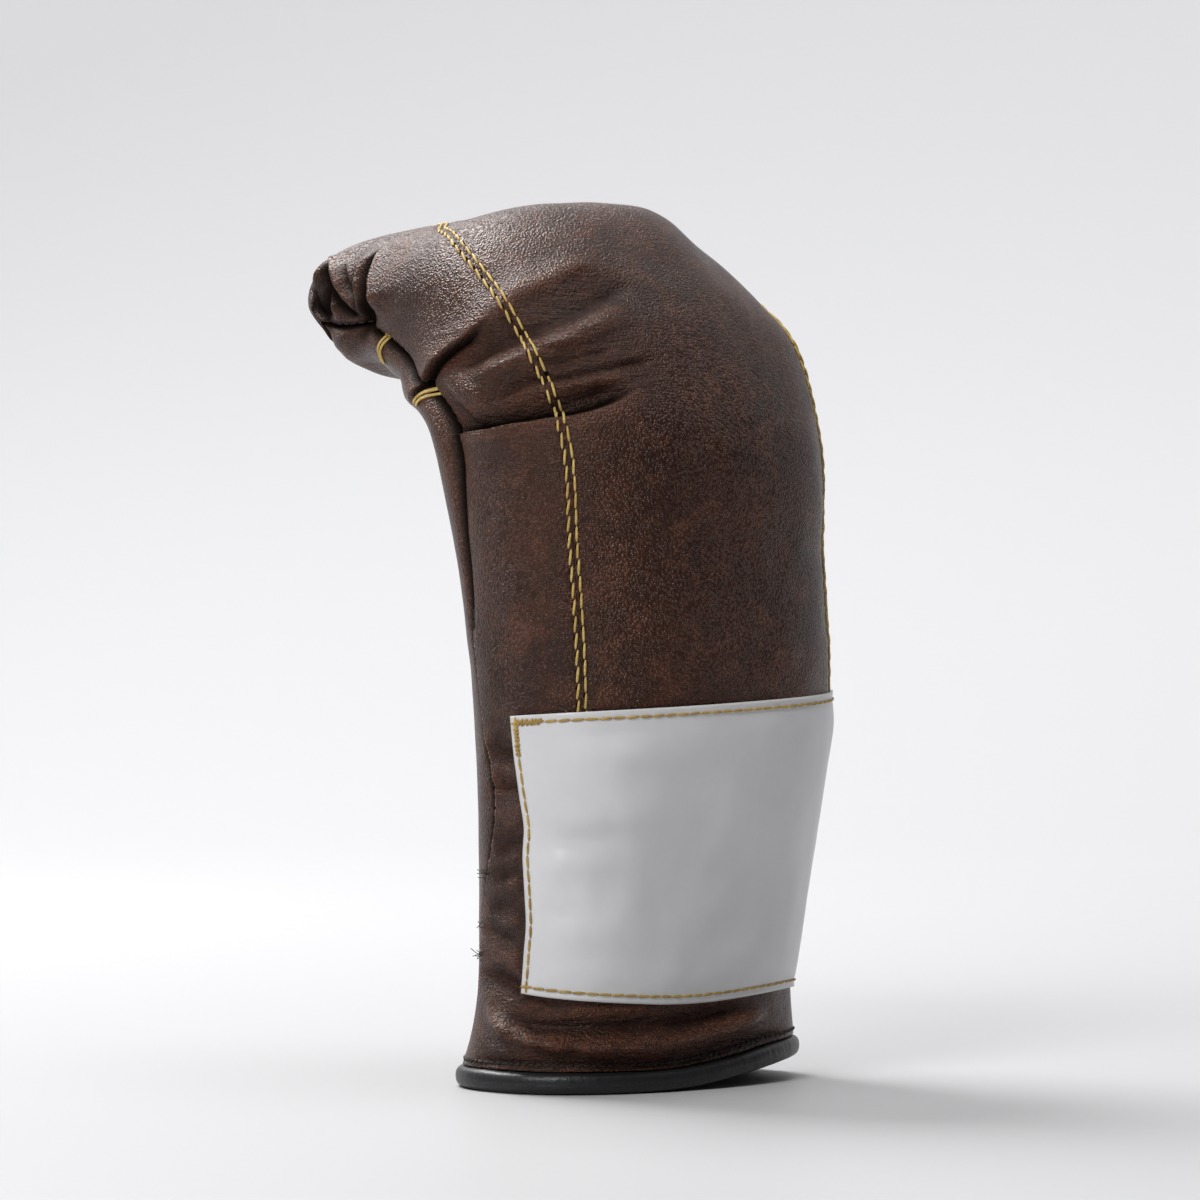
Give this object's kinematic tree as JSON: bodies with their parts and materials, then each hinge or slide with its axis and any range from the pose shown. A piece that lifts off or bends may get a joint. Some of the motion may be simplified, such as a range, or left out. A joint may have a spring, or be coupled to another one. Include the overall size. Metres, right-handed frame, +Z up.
{
  "type": "bag glove",
  "caption": "Curved leather bag mitt: padded back, side gussets, palm with thumb stall, bare label patch and bound cuff rim, standing on its open cuff.",
  "frame": {"origin": "on the floor under the middle of the standing glove's bounding box", "axes": "+Z up from cuff to knuckles, +X out of the back of the hand, -X the palm side the fingers curl towards, -Y the little-finger side, +Y the thumb side"},
  "size_m": [0.1422, 0.1164, 0.2483],
  "materials": {
    "back_leather": "waxed brown leather with fine grain and reddish rubs",
    "palm_leather": "softer and slightly lighter brown leather",
    "label_vinyl": "bare white coated cloth, satin",
    "binding": "black folded binding, satin",
    "thread": "waxed golden thread"
  },
  "bodies": {
    "root": {"back_panel": "back_leather", "near_gusset": "back_leather", "far_gusset": "back_leather", "palm_panel": "palm_leather", "thumb_stall": "palm_leather", "label_patch": "label_vinyl", "rim_binding": "binding"}
  },
  "joints": []
}
